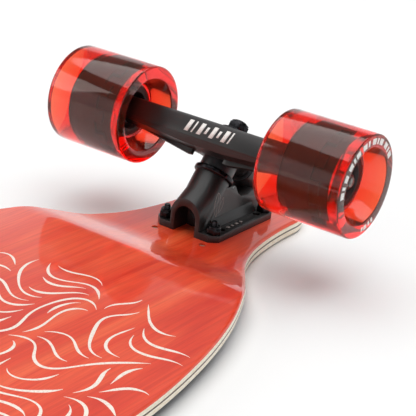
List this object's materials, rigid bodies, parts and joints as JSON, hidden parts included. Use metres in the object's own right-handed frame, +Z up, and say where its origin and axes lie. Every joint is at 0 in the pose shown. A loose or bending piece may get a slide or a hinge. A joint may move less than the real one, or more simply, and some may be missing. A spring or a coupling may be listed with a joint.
{
  "type": "longboard skateboard",
  "caption": "Longboard skateboard lying upside down: double-drop maple deck, reverse-kingpin trucks that steer, and soft wheels that spin on bearings.",
  "frame": {"origin": "on the surface that the board lies on, under the middle of the deck: the centre of the box's bottom face", "axes": "+Z up with the board upside down, away from the grip tape and towards the wheels; +Y along the deck to the nose; +X to the rider's left, across the board. To ride it, turn the row 180 degrees about Y"},
  "size_m": [0.27, 0.838, 0.1133],
  "materials": {
    "grip_tape": "coarse black grit",
    "maple_ply": "raw sanded maple",
    "dark_ply": "dyed ply",
    "stained_veneer": "red-orange stain under gloss lacquer",
    "black_casting": "satin black powder coat",
    "black_urethane": "matte moulded urethane",
    "red_urethane": "clear gloss cast urethane",
    "black_plastic": "moulded",
    "bright_steel": "bright ground steel",
    "black_steel": "black oxide"
  },
  "bodies": {
    "board": {"grip_tape": "grip_tape", "deck_top_veneer": "maple_ply", "deck_core_top": "maple_ply", "deck_dark_ply": "dark_ply", "deck_core_bottom": "maple_ply", "deck_bottom_veneer": "stained_veneer", "front_baseplate": "black_casting", "front_pivot_cup": "black_urethane", "front_kingpin": "black_steel", "front_kingpin_nut": "black_steel", "front_cup_washer": "black_steel", "front_upper_washer": "black_steel", "front_board_bushing": "black_urethane", "front_road_bushing": "black_urethane", "front_mounting_bolts": "black_steel", "front_mounting_nuts": "black_steel", "rear_baseplate": "black_casting", "rear_pivot_cup": "black_urethane", "rear_kingpin": "black_steel", "rear_kingpin_nut": "black_steel", "rear_cup_washer": "black_steel", "rear_upper_washer": "black_steel", "rear_board_bushing": "black_urethane", "rear_road_bushing": "black_urethane", "rear_mounting_bolts": "black_steel", "rear_mounting_nuts": "black_steel"},
    "front_hanger": {"front_hanger": "black_casting", "front_axle": "bright_steel", "front_axle_nuts": "black_steel", "front_speed_washers": "bright_steel", "front_bearing_inner_races": "bright_steel", "front_bearing_spacers": "bright_steel"},
    "rear_hanger": {"rear_hanger": "black_casting", "rear_axle": "bright_steel", "rear_axle_nuts": "black_steel", "rear_speed_washers": "bright_steel", "rear_bearing_inner_races": "bright_steel", "rear_bearing_spacers": "bright_steel"},
    "front_left_wheel": {"front_left_tyre": "red_urethane", "front_left_core": "black_plastic", "front_left_bearing_outer_races": "bright_steel", "front_left_bearing_balls": "bright_steel"},
    "front_right_wheel": {"front_right_tyre": "red_urethane", "front_right_core": "black_plastic", "front_right_bearing_outer_races": "bright_steel", "front_right_bearing_balls": "bright_steel"},
    "rear_left_wheel": {"rear_left_tyre": "red_urethane", "rear_left_core": "black_plastic", "rear_left_bearing_outer_races": "bright_steel", "rear_left_bearing_balls": "bright_steel"},
    "rear_right_wheel": {"rear_right_tyre": "red_urethane", "rear_right_core": "black_plastic", "rear_right_bearing_outer_races": "bright_steel", "rear_right_bearing_balls": "bright_steel"}
  },
  "joints": [
    {"name": "front_steering", "type": "hinge", "parent": "board", "child": "front_hanger", "pos_m": [0, 0.34714, 0.0619], "axis": [0, -0.766, 0.6428], "range_deg": [-20, 20], "stiffness_Nm_per_rad": 45, "deforming": ["front_board_bushing", "front_road_bushing"]},
    {"name": "rear_steering", "type": "hinge", "parent": "board", "child": "rear_hanger", "pos_m": [0, -0.34714, 0.0619], "axis": [0, 0.766, 0.6428], "range_deg": [-20, 20], "stiffness_Nm_per_rad": 45, "deforming": ["rear_board_bushing", "rear_road_bushing"]},
    {"name": "front_left_wheel_spin", "type": "hinge", "parent": "front_hanger", "child": "front_left_wheel", "pos_m": [0.09025, 0.32883, 0.07726], "axis": [1, 0, 0], "continuous": true},
    {"name": "front_right_wheel_spin", "type": "hinge", "parent": "front_hanger", "child": "front_right_wheel", "pos_m": [-0.09025, 0.32883, 0.07726], "axis": [1, 0, 0], "continuous": true},
    {"name": "rear_left_wheel_spin", "type": "hinge", "parent": "rear_hanger", "child": "rear_left_wheel", "pos_m": [0.09025, -0.32883, 0.07726], "axis": [1, 0, 0], "continuous": true},
    {"name": "rear_right_wheel_spin", "type": "hinge", "parent": "rear_hanger", "child": "rear_right_wheel", "pos_m": [-0.09025, -0.32883, 0.07726], "axis": [1, 0, 0], "continuous": true}
  ]
}
